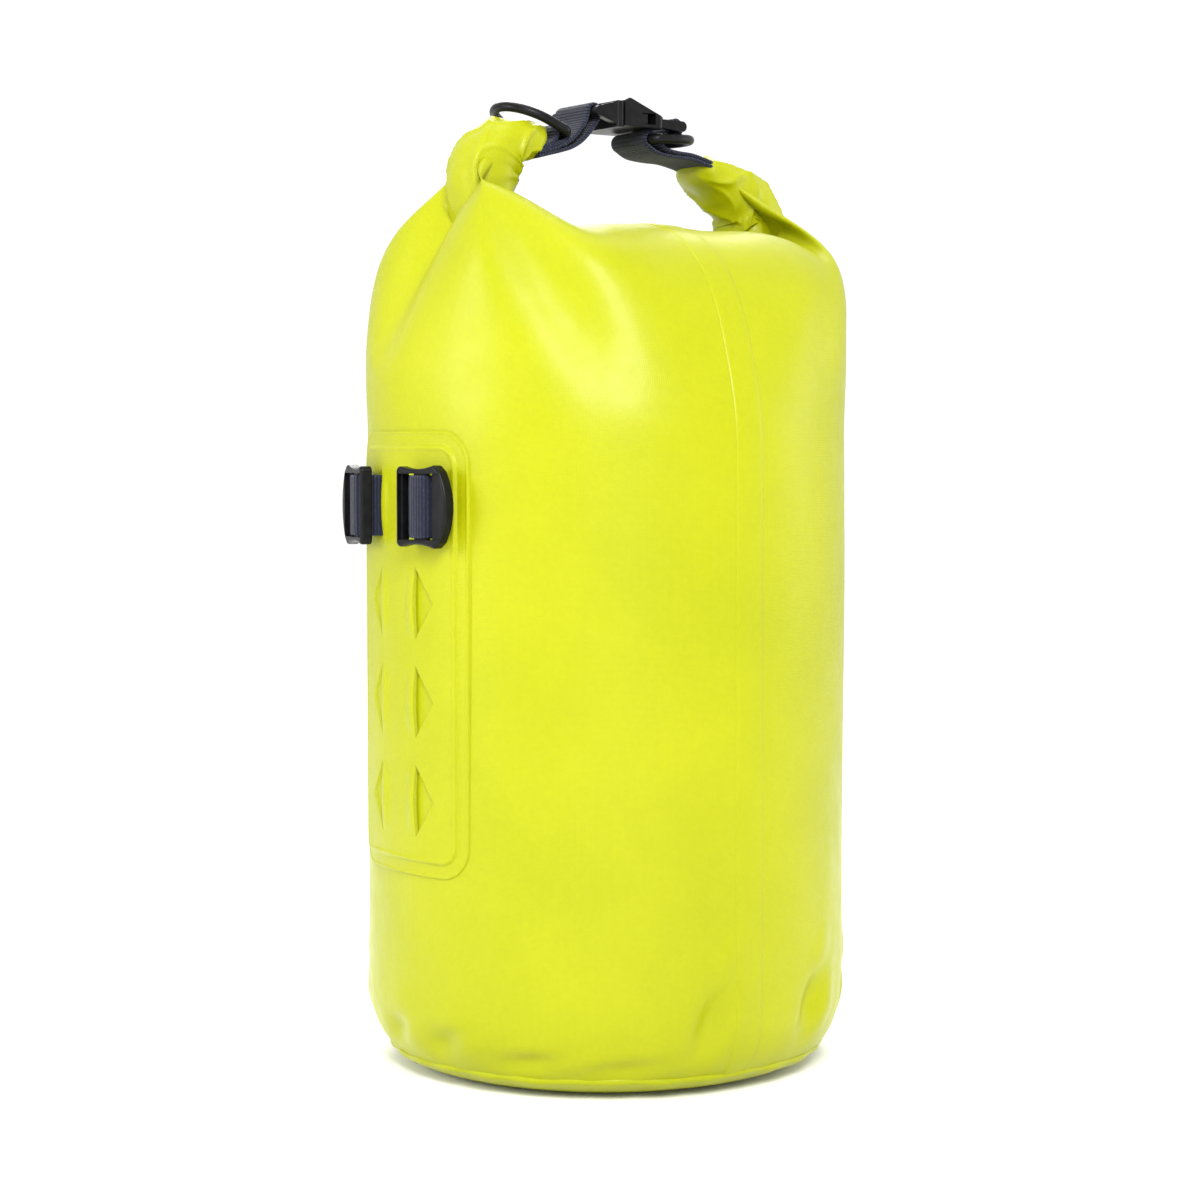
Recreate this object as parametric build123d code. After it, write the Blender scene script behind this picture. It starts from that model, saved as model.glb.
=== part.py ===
"""Roll-top dry bag, standing full and closed.

Frame: +Z up, origin at the centre of the base's flat underside, X along the rolled closure. The lash patch with its
two ladder locks is on the -X side, the lengthways weld of the body is on the -Y side. All sizes are millimetres.

The mouth is flattened and rolled down along X. The two ends of the roll stand up and lean over each other, and a
side-release buckle on short webbing tabs joins them into a carry handle. The ends swing out together about
END_PIVOT once the buckle is let go, and the tabs stay level while they do.
"""

from build123d import *
from math import cos, radians, sin
import os

# ---- bag body ----
BODY_RADIUS = 100.0
WALL = 1.0
BASE_EDGE_RADIUS = 24.0
BASE_LAP_ANGLE = -48.0  # where the body panel's lower edge laps the base, degrees round the base edge
BASE_LAP_TOP = 30.0
SHOULDER_START = 290.0
TOP_HEIGHT = 339.0
CLOSURE_SHIFT = 3.0  # the closure is rolled this far off the bag's axis, along +X
WELD_WIDTH = 13.0
WELD_THICKNESS = 0.7
# (height, half length along X, half width along Y, shift along X) of each level of the shoulder
SHOULDER_LEVELS = [
    (SHOULDER_START, BODY_RADIUS, BODY_RADIUS, 0.0),
    (318.0, 99.0, 92.0, 0.5),
    (332.0, 95.0, 68.0, 1.5),
    (TOP_HEIGHT, 88.0, 32.0, CLOSURE_SHIFT),
]

# ---- rolled closure, in the handle's own frame: x is measured from the closure's middle ----
ROLL_HALF_LENGTH = 46.0
ROLL_WIDTH = 28.0
ROLL_HEIGHT = 12.0
STRAP_WIDTH = 25.0
HEM_STRAP_THICKNESS = 1.7
STIFFENER_THICKNESS = 1.3
END_PIVOT = (83.0, 348.0)
END_KNUCKLE_RADIUS = 8.0
END_GAP = 1.0  # between a rolled end and the bag under it
END_INNER_X = 48.0
END_INNER_TOP = 362.0
END_HALF_WIDTH = 14.0
END_TIP_HALF_WIDTH = 12.6
TIP_X = 40.5
TIP_TAPER = 18.0  # how far in from its tip each end narrows
TAB_PIVOT = (40.3, 378.5)
# upper outline of each rolled end, from its tip out to its knuckle
LEFT_END_TOP = [(TIP_X, 385.0), (50.0, 387.5), (60.0, 388.8), (73.0, 383.0), (86.5, 367.0)]
RIGHT_END_TOP = [(TIP_X, 385.5), (52.0, 383.8), (64.0, 380.5), (76.0, 374.5), (87.5, 366.0)]
SOFT_EDGES_FROM = 365.0

# ---- webbing tabs, rings and buckle ----
WEBBING = 1.6
ROD_RADIUS = 2.0
ROD_CLEARANCE = 0.15
TAB_ROOT = (38.5, 380.4)
LEFT_RING_BAR = (-32.0, 386.0)
RIGHT_RING_BAR = (11.5, 386.0)
LEFT_RING_TILT = 157.0  # degrees from +X, seen from -Y
RIGHT_RING_TILT = 3.0
LEFT_TAB_FOLD = (-21.0, 384.0)
RIGHT_TAB_FOLD = (20.0, 381.2)
RING_HALF_WIDTH = 15.2
RING_STRAIGHT = 10.0
RING_CORNER = 2.6
BUCKLE_Z = 393.6
BUCKLE_HALF_WIDTH = 17.0
ARM_INNER = 13.2
FEMALE_MOUTH = -5.0
FEMALE_END = 15.5
FEMALE_FLOOR = 390.1
FEMALE_CREST = (-2.5, 401.8)
FEMALE_LIP_TOP = 400.6
FEMALE_END_TOP = 394.3
FEMALE_BAR = (24.5, 391.6)
CAVITY_END = 10.5
CAVITY_HALF_WIDTH = 13.8
CAVITY_HALF_HEIGHT = 2.3
WINDOW = (3.6, 10.4)
MALE_BAR = (-17.0, 395.5)
MALE_WALL = (-9.0, -5.4)
MALE_WALL_LOW = 389.4
MALE_WALL_TOP = 400.4
GUIDE_END = 6.5
PRONG_PIVOT = (-3.4, 9.0)
PRONG_ROOT_RADIUS = 1.9
PRONG_HALF_HEIGHT = 2.0
# the back prong's outline from its latching face round its tip to its inner side
PRONG_HEAD = [(3.9, 12.6), (4.0, 16.3), (6.8, 16.3), (9.8, 12.4), (9.8, 9.8), (3.9, 9.2)]
GUIDE_HALF_WIDTH = 2.4
GUIDE_HALF_HEIGHT = 1.4
THUMB_SCOOP_RADIUS = 8.0

# ---- lash patch ----
PATCH_CENTRE_Z = 175.0
PATCH_HALF_HEIGHT = 89.0
PATCH_HALF_ANGLE = 23.2
PATCH_CORNER = 14.0
PATCH_MARGIN = 7.0
BACKING = 0.6
MARGIN_THICKNESS = 0.7
FACE_THICKNESS = 1.8
SLOT_HEIGHTS = [235.0, 195.5, 156.0, 116.5]
SLOT_HALF_HEIGHT = 14.5
SLOT_INNER_ANGLE = 7.1
SLOT_APEX_ANGLE = 13.1
SLOT_BOW = 1.0
LASH_STRAP_THICKNESS = 1.2

# ---- ladder locks, in the lock's own frame: x away from the patch's middle, y up, z out of the bag ----
LOCK_ANGLE = 13.4
LOCK_STAND_OFF = 5.2  # bar centre above the patch's face
LOCK_Z = 234.0
LOCK_HALF_WIDTH = 16.5
LOCK_WINDOW_HALF = 13.0
LOCK_RAIL = (-12.0, -9.4)
LOCK_BAR_HALF = 3.8
LOCK_BAR_HALF_THICKNESS = 1.4
LOCK_LIP = (7.0, 16.0)
LOCK_UNDERSIDE = -2.0
LOCK_THICKNESS = 5.0
LOCK_LIP_LEDGE = (12.0, 1.3)  # where the lower ledge before the lip ends, and its height
LOCK_RAIL_LEDGE = (-10.8, 1.6)  # where the lower ledge on the rail starts, and its height
LOCK_CORNER_X = 9.0
LOCK_WAIST = 1.7
LOCK_BOW = 4.0
LOCK_CORNER_DROP = 2.5
LOOP_THICKNESS = 1.4
LOOP_ROOT = (-10.2, -3.9)  # where the webbing comes out of its slot, and what the lock lifts about

FACE_RADIUS = BODY_RADIUS + BACKING + FACE_THICKNESS
HANDLE = Location((CLOSURE_SHIFT, 0, 0))


def arc_point(centre, radius, angle):
    """A point on a circle, with the angle in degrees."""
    return centre[0] + radius * cos(radians(angle)), centre[1] + radius * sin(radians(angle))


def block(x0, x1, y0, y1, z0, z1):
    """A box from its six limits."""
    return Pos((x0 + x1) / 2, (y0 + y1) / 2, (z0 + z1) / 2) * Box(x1 - x0, y1 - y0, z1 - z0)


def side_face(edges):
    """A face in the XZ plane from edges drawn as (x, z)."""
    return Plane.XZ * make_face(edges)


def side_prism(sketch, half_width):
    """A sketch drawn as (x, z), made solid from -half_width to +half_width along Y."""
    return extrude(Plane.XZ * sketch, amount=half_width, both=True)


def strip(start, end, thickness):
    """A straight bar with round ends in the sketch plane, from start to end."""
    run = Vector(*end) - Vector(*start)
    middle = (Vector(*start) + Vector(*end)) / 2
    angle = Vector(1, 0).get_signed_angle(run, Vector(0, 0, 1))
    return Pos(middle.X, middle.Y) * Rot(0, 0, angle) * SlotCenterToCenter(run.length, thickness)


def softened(solid, edges, radius):
    """The solid with those edges rounded, or as it was where the kernel can't round them."""
    try:
        return fillet(edges, radius)
    except Exception:
        return solid


# ---------------------------------------------------------------- bag body
def lap_profile(outer, inner, start_angle, top):
    """Half section of the base edge between two radii, from start_angle up to a height."""
    centre = (BODY_RADIUS - BASE_EDGE_RADIUS, BASE_EDGE_RADIUS)
    a, b = arc_point(centre, outer, start_angle), arc_point(centre, inner, start_angle)
    right, left = centre[0] + outer, centre[0] + inner
    middle = start_angle / 2
    return [
        ThreePointArc(a, arc_point(centre, outer, middle), (right, centre[1])),
        Line((right, centre[1]), (right, top)),
        Line((right, top), (left, top)),
        Line((left, top), (left, centre[1])),
        ThreePointArc((left, centre[1]), arc_point(centre, inner, middle), b),
        Line(b, a),
    ]


def shoulder(inset):
    """The shoulder as one solid, from the circular body to the flattened mouth, shrunk by inset."""
    levels = [
        Pos(shift, 0, z - (inset if z > SHOULDER_START else 0)) * Ellipse(a - inset, b - inset)
        for z, a, b, shift in SHOULDER_LEVELS
    ]
    return loft(levels)


def body_panel():
    lower = lap_profile(BASE_EDGE_RADIUS, BASE_EDGE_RADIUS - WALL, BASE_LAP_ANGLE, SHOULDER_START)
    tube = revolve(side_face(lower), Axis.Z, 360)
    return tube + (shoulder(0) - shoulder(WALL))


def base_panel():
    """A round disc of doubled fabric, with an upturned edge that tucks inside the body panel."""
    centre = (BODY_RADIUS - BASE_EDGE_RADIUS, BASE_EDGE_RADIUS)
    lap_radius = BASE_EDGE_RADIUS - WALL
    inner_radius = lap_radius - WALL
    step = BASE_LAP_ANGLE - 2
    rim = lap_profile(lap_radius, inner_radius, step, BASE_LAP_TOP)
    outer, lower = arc_point(centre, BASE_EDGE_RADIUS, step), arc_point(centre, inner_radius, step)
    middle = (step - 90) / 2
    thickness = BASE_EDGE_RADIUS - inner_radius
    disc = [
        Line((0, 0), (centre[0], 0)),
        ThreePointArc((centre[0], 0), arc_point(centre, BASE_EDGE_RADIUS, middle), outer),
        Line(outer, lower),
        ThreePointArc(lower, arc_point(centre, inner_radius, middle), (centre[0], thickness)),
        Line((centre[0], thickness), (0, thickness)),
        Line((0, thickness), (0, 0)),
    ]
    return revolve(side_face(disc), Axis.Z, 360) + revolve(side_face(rim), Axis.Z, 360)


def tube_shell(inner, outer, z0, z1):
    height = z1 - z0
    ring = Cylinder(outer, height) - Cylinder(inner, height)
    return Pos(0, 0, (z0 + z1) / 2) * ring


def body_weld():
    """The lapped lengthways weld of the body panel, a strip up its -Y side."""
    shell = tube_shell(BODY_RADIUS, BODY_RADIUS + WELD_THICKNESS, BASE_EDGE_RADIUS, SHOULDER_START)
    half = WELD_WIDTH / 2
    return shell & block(-half, half, -2 * BODY_RADIUS, 0, 0, TOP_HEIGHT)


# ---------------------------------------------------------------- lash patch
def patch_prism(margin):
    """A prism along X with the patch's rounded outline, drawn in by a margin."""
    half_width = FACE_RADIUS * sin(radians(PATCH_HALF_ANGLE)) - margin
    outline = RectangleRounded(2 * half_width, 2 * (PATCH_HALF_HEIGHT - margin), PATCH_CORNER - margin / 2)
    plane = Plane(origin=(-BODY_RADIUS - 20, 0, PATCH_CENTRE_Z), x_dir=(0, 1, 0), z_dir=(1, 0, 0))
    return extrude(plane * outline, amount=BODY_RADIUS)


def patch_layer(inner, outer, margin):
    low, high = PATCH_CENTRE_Z - PATCH_HALF_HEIGHT, PATCH_CENTRE_Z + PATCH_HALF_HEIGHT
    return tube_shell(inner, outer, low, high) & patch_prism(margin)


def slot_cutter(side, height):
    """One leaf-shaped slot: a bowed edge towards the patch's middle and a point away from it."""
    near = FACE_RADIUS * sin(radians(SLOT_INNER_ANGLE))
    far = FACE_RADIUS * sin(radians(SLOT_APEX_ANGLE))
    top, bottom = (side * near, SLOT_HALF_HEIGHT), (side * near, -SLOT_HALF_HEIGHT)
    leaf = make_face(
        [
            ThreePointArc(bottom, (side * (near - SLOT_BOW), 0), top),
            Line(top, (side * far, 0)),
            Line((side * far, 0), bottom),
        ]
    )
    plane = Plane(origin=(-BODY_RADIUS - 20, 0, height), x_dir=(0, 1, 0), z_dir=(1, 0, 0))
    return extrude(plane * leaf, amount=BODY_RADIUS)


def patch_backing():
    return patch_layer(BODY_RADIUS, BODY_RADIUS + BACKING, 0)


def strap_channel(thickness, half_angle, half_width):
    """A curved band round the -X side, where the lash strap runs behind the patch's face."""
    inner = BODY_RADIUS + BACKING
    band = tube_shell(inner, inner + thickness, LOCK_Z - half_width, LOCK_Z + half_width)
    reach = FACE_RADIUS * sin(radians(half_angle))
    return band & block(-2 * BODY_RADIUS, 0, -reach, reach, 0, TOP_HEIGHT)


def patch_face():
    inner = BODY_RADIUS + BACKING
    face = patch_layer(inner, inner + MARGIN_THICKNESS, 0)
    face += patch_layer(inner, inner + FACE_THICKNESS, PATCH_MARGIN)
    for height in SLOT_HEIGHTS:
        for side in (-1, 1):
            face -= slot_cutter(side, height)
    return face - strap_channel(LASH_STRAP_THICKNESS, SLOT_INNER_ANGLE + 0.5, STRAP_WIDTH / 2)


def lash_strap():
    """The webbing that runs behind the patch from one top slot to the other."""
    return strap_channel(LASH_STRAP_THICKNESS, SLOT_INNER_ANGLE - 0.2, STRAP_WIDTH / 2)


# ---------------------------------------------------------------- ladder locks
def lock_plane():
    angle = radians(180 + LOCK_ANGLE)
    out = (cos(angle), sin(angle), 0)
    distance = FACE_RADIUS + LOCK_STAND_OFF
    origin = (out[0] * distance, out[1] * distance, LOCK_Z)
    return Plane(origin=origin, x_dir=(-sin(angle), cos(angle), 0), z_dir=out)


def lock_outline():
    """The frame's outline: waisted at the sides, straight at the rail and bowed at the lip."""
    rail, lip = LOCK_RAIL[0], LOCK_LIP[1]
    corner, waist, turn = LOCK_HALF_WIDTH, LOCK_HALF_WIDTH - LOCK_WAIST, LOCK_CORNER_X
    middle = (rail + turn) / 2
    bow_x, bow_y = lip - LOCK_BOW, corner - LOCK_CORNER_DROP
    edges = [
        Line((rail, -corner), (rail, corner)),
        ThreePointArc((rail, corner), (middle, waist), (turn, corner)),
        Line((turn, corner), (bow_x, bow_y)),
        ThreePointArc((bow_x, bow_y), (lip, 0), (bow_x, -bow_y)),
        Line((bow_x, -bow_y), (turn, -corner)),
        ThreePointArc((turn, -corner), (middle, -waist), (rail, -corner)),
    ]
    face = make_face(edges)
    return fillet(face.vertices(), 2.0)


def ladder_lock():
    """A one-piece lock: rail, webbing bar and toothed lip between two raised side walls."""
    low, high = LOCK_UNDERSIDE, LOCK_UNDERSIDE + LOCK_THICKNESS
    plate = extrude(Pos(0, 0, low) * lock_outline(), amount=LOCK_THICKNESS)
    plate = softened(plate, plate.faces().sort_by(Axis.Z)[-1].edges(), 1.2)
    plate = softened(plate, plate.faces().sort_by(Axis.Z)[0].edges(), 0.8)
    half = LOCK_WINDOW_HALF
    plate -= block(LOCK_RAIL[1], LOCK_LIP[0], -half, half, low - 1, high + 1)
    plate -= block(LOCK_LIP[0] - 1, LOCK_LIP_LEDGE[0], -half, half, LOCK_LIP_LEDGE[1], high + 1)
    plate -= block(LOCK_RAIL_LEDGE[0], LOCK_RAIL[1] + 1, -half, half, LOCK_RAIL_LEDGE[1], high + 1)
    bar = RectangleRounded(2 * LOCK_BAR_HALF, 2 * LOCK_BAR_HALF_THICKNESS, 1.2)
    plate += extrude(Plane.XZ * bar, amount=half + 1, both=True)
    return lock_plane() * plate


def lock_loop():
    """The webbing loop that holds the lock: up out of the slot, round the bar and back."""
    gap = ROD_CLEARANCE
    inner = RectangleRounded(2 * (LOCK_BAR_HALF + gap), 2 * (LOCK_BAR_HALF_THICKNESS + gap), 1.3)
    reach, rise = LOCK_BAR_HALF + gap + LOOP_THICKNESS, LOCK_BAR_HALF_THICKNESS + gap + LOOP_THICKNESS
    outer = RectangleRounded(2 * reach, 2 * rise, 2.6)
    leg = strip(LOOP_ROOT, (-3.2, -2.4), 2 * LOOP_THICKNESS)
    profile = (outer + leg) - inner
    loop = extrude(Plane.XZ * profile, amount=STRAP_WIDTH / 2, both=True)
    return lock_plane() * loop


def rear(solid):
    """The same piece on the other side of the patch."""
    return mirror(solid, about=Plane.XZ)


# ---------------------------------------------------------------- rolled closure
def strap_space(low, high, half_width):
    length = ROLL_HALF_LENGTH
    return block(-length, length, -half_width, half_width, low, high)


def roll_core_levels():
    """Heights of the hem strap's underside, the face it shares with the stiffener, and the stiffener's top."""
    low = TOP_HEIGHT + ROLL_HEIGHT / 2 - (HEM_STRAP_THICKNESS + STIFFENER_THICKNESS) / 2
    return low, low + HEM_STRAP_THICKNESS, low + HEM_STRAP_THICKNESS + STIFFENER_THICKNESS


def closure_roll():
    """The middle of the roll, flattened fabric turned over the hem strap and the stiffener."""
    low, shared, high = roll_core_levels()
    section = SlotOverall(ROLL_WIDTH, ROLL_HEIGHT)
    middle = Plane(origin=(-ROLL_HALF_LENGTH, 0, TOP_HEIGHT + ROLL_HEIGHT / 2), x_dir=(0, 1, 0), z_dir=(1, 0, 0))
    roll = extrude(middle * section, amount=2 * ROLL_HALF_LENGTH)
    roll -= strap_space(low, shared, STRAP_WIDTH / 2)
    roll -= strap_space(shared, high, STRAP_WIDTH / 2 - 2.5)
    return HANDLE * roll


def hem_strap():
    low, shared, _ = roll_core_levels()
    return HANDLE * strap_space(low, shared, STRAP_WIDTH / 2)


def mouth_stiffener():
    _, shared, high = roll_core_levels()
    return HANDLE * strap_space(shared, high, STRAP_WIDTH / 2 - 2.5)


def rolled_end(side, top):
    """One end of the roll, standing up from its knuckle and leaning over the bag. side is -1 left, +1 right."""
    pivot_x, pivot_z = END_PIVOT
    radius = END_KNUCKLE_RADIUS
    floor = TOP_HEIGHT + END_GAP
    foot = (END_INNER_X, floor)
    outline = [foot, (END_INNER_X, END_INNER_TOP), (TIP_X, TAB_PIVOT[1]), *top, (pivot_x + radius, pivot_z)]
    outline = [(side * x, z) for x, z in outline]
    around = arc_point(END_PIVOT, radius, -45)
    outer_foot = (side * pivot_x, floor)
    edges = [
        Polyline(*outline),
        ThreePointArc(outline[-1], (side * around[0], around[1]), outer_foot),
        Line(outer_foot, outline[0]),
    ]
    solid = side_prism(make_face(edges), END_HALF_WIDTH)
    near, far = side * (TIP_X - 1), side * (TIP_X + TIP_TAPER)
    for flank in (-1, 1):
        beyond = flank * 2 * END_HALF_WIDTH
        wedge = make_face(
            Polyline(
                (near, flank * END_TIP_HALF_WIDTH),
                (far, flank * END_HALF_WIDTH),
                (far, beyond),
                (near, beyond),
                close=True,
            )
        )
        solid -= Pos(0, 0, floor) * extrude(wedge, amount=2 * BODY_RADIUS)
    long_edges = solid.edges().filter_by(lambda e: abs(abs(e.center().Y) - END_HALF_WIDTH) < 1.0)
    solid = softened(solid, long_edges.filter_by(lambda e: e.center().Z > SOFT_EDGES_FROM), 3.0)
    return HANDLE * solid


# ---------------------------------------------------------------- tabs, rings, buckle
def tab(course, ring_bar, buckle_bar):
    """A doubled webbing tab along a course of points, with an eye for the ring and one for the buckle's bar."""
    outer = ROD_RADIUS + ROD_CLEARANCE + WEBBING
    profile = Sketch()
    for start, end in zip(course, course[1:]):
        profile += strip(start, end, 2 * WEBBING + 0.1)
    for centre in (ring_bar, buckle_bar):
        profile += Pos(*centre) * Circle(outer)
    for centre in (ring_bar, buckle_bar):
        profile -= Pos(*centre) * Circle(ROD_RADIUS + ROD_CLEARANCE)
    return HANDLE * side_prism(profile, STRAP_WIDTH / 2)


def d_ring(bar, tilt):
    """A D-shaped ring of round rod, its straight bar along Y at bar, leaning at tilt degrees from +X."""
    width, straight, corner = RING_HALF_WIDTH, RING_STRAIGHT, RING_CORNER
    bar_end = width - corner
    pull = corner * (1 - cos(radians(45)))
    path = Wire(
        [
            Line((0, -bar_end), (0, bar_end)),
            ThreePointArc((0, bar_end), (pull, width - pull), (corner, width)),
            Line((corner, width), (straight, width)),
            ThreePointArc((straight, width), (straight + width, 0), (straight, -width)),
            Line((straight, -width), (corner, -width)),
            ThreePointArc((corner, -width), (pull, pull - width), (0, -bar_end)),
        ]
    )
    ring = sweep(Plane.XZ * Circle(ROD_RADIUS), path=path)
    return HANDLE * Pos(bar[0], 0, bar[1]) * Rot(0, -tilt, 0) * ring


def buckle_arms(bar, wall_x, wall_low, wall_high):
    """Two arms from a buckle's wall to its webbing bar, and the bar between them."""
    reach = ROD_RADIUS + 0.2
    x, z = bar
    side = 1 if x > wall_x else -1
    outline = make_face(
        Polyline((wall_x, wall_low), (x, z - reach), (x, z + reach), (wall_x, wall_high), close=True)
    )
    arm = outline + Pos(x, z) * Circle(reach)
    both = side_prism(arm, BUCKLE_HALF_WIDTH - 0.4) - side_prism(
        Pos((x + wall_x) / 2 + side * 5, z) * Rectangle(abs(x - wall_x) + 10, 40), ARM_INNER
    )
    rod = Pos(x, 0, z) * Rot(90, 0, 0) * Cylinder(ROD_RADIUS, 2 * (ARM_INNER + 1))
    return both + rod


def buckle_female():
    """The socket half: a wedge that is tallest near its mouth, with the prongs' heads in its side windows."""
    width = BUCKLE_HALF_WIDTH
    wedge = make_face(
        Polyline(
            (FEMALE_MOUTH, FEMALE_FLOOR),
            (FEMALE_END, FEMALE_FLOOR),
            (FEMALE_END, FEMALE_END_TOP),
            FEMALE_CREST,
            (FEMALE_MOUTH, FEMALE_LIP_TOP),
            close=True,
        )
    )
    shell = side_prism(wedge, width)
    shell = softened(shell, shell.edges().filter_by(Axis.Z).sort_by(Axis.X)[-2:], 3.0)
    shell = softened(shell, shell.faces().sort_by(Axis.Z)[-1].edges(), 1.0)
    low, high = BUCKLE_Z - CAVITY_HALF_HEIGHT, BUCKLE_Z + CAVITY_HALF_HEIGHT
    shell -= block(FEMALE_MOUTH - 1, CAVITY_END, -CAVITY_HALF_WIDTH, CAVITY_HALF_WIDTH, low, high)
    shell -= block(*WINDOW, -width - 1, width + 1, low, high)
    scoop = Pos(FEMALE_MOUTH - THUMB_SCOOP_RADIUS * 0.4, 0, high + THUMB_SCOOP_RADIUS * 0.75)
    shell -= scoop * Cylinder(THUMB_SCOOP_RADIUS, FEMALE_CREST[1] - BUCKLE_Z)
    return HANDLE * (shell + buckle_arms(FEMALE_BAR, FEMALE_END - 1.5, FEMALE_FLOOR + 0.5, FEMALE_END_TOP - 0.3))


def buckle_male():
    """The plug half: a wall that meets the socket's mouth, a middle guide, and the webbing bar behind."""
    low, high = MALE_WALL_LOW, MALE_WALL_TOP
    wall = block(*MALE_WALL, -BUCKLE_HALF_WIDTH, BUCKLE_HALF_WIDTH, low, high)
    wall = softened(wall, wall.edges().filter_by(Axis.Z), 1.2)
    wall = softened(wall, wall.faces().sort_by(Axis.Z)[-1].edges(), 0.8)
    across, thick = GUIDE_HALF_WIDTH, GUIDE_HALF_HEIGHT
    guide = block(MALE_WALL[1] - 1, GUIDE_END, -across, across, BUCKLE_Z - thick, BUCKLE_Z + thick)
    guide = softened(guide, guide.edges().filter_by(Axis.Z).sort_by(Axis.X)[-2:], 2.0)
    return HANDLE * (wall + guide + buckle_arms(MALE_BAR, MALE_WALL[0] + 1, low + 1, high - 0.5))


def buckle_prong(side):
    """One sprung prong of the male half, with its latching head in the female half's side window."""
    pivot_x, pivot_y = PRONG_PIVOT
    outline = make_face(
        Polyline(
            (pivot_x, pivot_y - PRONG_ROOT_RADIUS),
            (pivot_x, pivot_y + PRONG_ROOT_RADIUS),
            *PRONG_HEAD,
            close=True,
        )
    )
    outline += Pos(pivot_x, pivot_y) * Circle(PRONG_ROOT_RADIUS)
    prong = Pos(0, 0, BUCKLE_Z - PRONG_HALF_HEIGHT) * extrude(outline, amount=2 * PRONG_HALF_HEIGHT)
    prong = prong if side > 0 else mirror(prong, about=Plane.XZ)
    return HANDLE * prong


def build():
    left_bar, right_bar = LEFT_RING_BAR, RIGHT_RING_BAR
    left_course = [(-TAB_ROOT[0], TAB_ROOT[1]), left_bar, LEFT_TAB_FOLD, MALE_BAR]
    right_course = [TAB_ROOT, RIGHT_TAB_FOLD, right_bar, FEMALE_BAR]
    return {
        "body_panel": body_panel(),
        "base_panel": base_panel(),
        "body_weld": body_weld(),
        "patch_backing": patch_backing(),
        "patch_face": patch_face(),
        "lash_strap": lash_strap(),
        "ladder_lock_front": ladder_lock(),
        "lock_loop_front": lock_loop(),
        "ladder_lock_rear": rear(ladder_lock()),
        "lock_loop_rear": rear(lock_loop()),
        "closure_roll": closure_roll(),
        "hem_strap": hem_strap(),
        "mouth_stiffener": mouth_stiffener(),
        "rolled_end_left": rolled_end(-1, LEFT_END_TOP),
        "rolled_end_right": rolled_end(1, RIGHT_END_TOP),
        "tab_left": tab(left_course, left_bar, MALE_BAR),
        "tab_right": tab(right_course, right_bar, FEMALE_BAR),
        "d_ring_left": d_ring(left_bar, LEFT_RING_TILT),
        "d_ring_right": d_ring(right_bar, RIGHT_RING_TILT),
        "buckle_male": buckle_male(),
        "buckle_female": buckle_female(),
        "buckle_prong_front": buckle_prong(-1),
        "buckle_prong_back": buckle_prong(1),
    }


os.makedirs("parts", exist_ok=True)
for name, shape in build().items():
    export_step(shape, f"parts/{name}.step")
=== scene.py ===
import math

import bmesh
import bpy
import numpy as np
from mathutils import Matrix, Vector


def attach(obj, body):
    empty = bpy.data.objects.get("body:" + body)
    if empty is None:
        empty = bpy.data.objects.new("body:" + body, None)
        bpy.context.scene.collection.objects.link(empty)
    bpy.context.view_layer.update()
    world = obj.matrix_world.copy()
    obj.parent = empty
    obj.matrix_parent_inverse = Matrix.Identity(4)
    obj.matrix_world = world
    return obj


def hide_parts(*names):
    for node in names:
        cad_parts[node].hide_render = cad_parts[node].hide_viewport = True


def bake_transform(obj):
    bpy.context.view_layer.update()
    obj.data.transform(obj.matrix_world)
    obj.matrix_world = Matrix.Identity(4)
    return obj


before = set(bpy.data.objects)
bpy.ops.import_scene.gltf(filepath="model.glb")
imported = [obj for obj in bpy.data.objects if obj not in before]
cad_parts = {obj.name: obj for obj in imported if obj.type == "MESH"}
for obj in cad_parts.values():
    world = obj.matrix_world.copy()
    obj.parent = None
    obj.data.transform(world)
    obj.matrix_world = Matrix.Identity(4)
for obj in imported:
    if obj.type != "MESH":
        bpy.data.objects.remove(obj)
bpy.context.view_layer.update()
scene = bpy.context.scene
MM = 0.001


# ---------------------------------------------------------------- camera
def make_camera():
    """At the photograph's angle: a third of the way round to the lash patch, and looking slightly down."""
    azimuth, distance, height = math.radians(-34.5), 1.150, 0.255
    data = bpy.data.cameras.new("camera")
    data.sensor_width, data.lens = 36, 81.85
    camera = bpy.data.objects.new("camera", data)
    camera.location = (math.sin(azimuth) * distance, -math.cos(azimuth) * distance, height)
    camera.rotation_euler = (math.radians(90 - 3.08), 0, azimuth + math.radians(0.126))
    scene.collection.objects.link(camera)
    scene.camera = camera


make_camera()


# ---------------------------------------------------------------- materials
def new_material(name):
    material = bpy.data.materials.new(name)
    material.use_nodes = True
    nodes = material.node_tree.nodes
    return material, nodes, material.node_tree.links, nodes["Principled BSDF"]


def node(nodes, kind, **values):
    made = nodes.new(kind)
    for key, value in values.items():
        if hasattr(made, key):
            setattr(made, key, value)
        else:
            made.inputs[key.replace("_", " ")].default_value = value
    return made


def math_node(nodes, links, operation, a, b=None):
    made = nodes.new("ShaderNodeMath")
    made.operation = operation
    for i, value in enumerate((a, b)):
        if value is None:
            continue
        if isinstance(value, (int, float)):
            made.inputs[i].default_value = value
        else:
            links.new(value, made.inputs[i])
    return made.outputs[0]


def ramp(nodes, links, source, stops):
    made = nodes.new("ShaderNodeValToRGB")
    elements = made.color_ramp.elements
    while len(elements) < len(stops):
        elements.new(0.5)
    for element, (place, colour) in zip(elements, stops):
        element.position, element.color = place, colour
    links.new(source, made.inputs[0])
    return made.outputs[0]


def grey(value):
    return (value, value, value, 1)


def bump(nodes, links, height, distance, strength=1.0, under=None):
    made = nodes.new("ShaderNodeBump")
    made.inputs["Distance"].default_value = distance
    made.inputs["Strength"].default_value = strength
    links.new(height, made.inputs["Height"])
    if under is not None:
        links.new(under, made.inputs["Normal"])
    return made.outputs[0]


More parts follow.
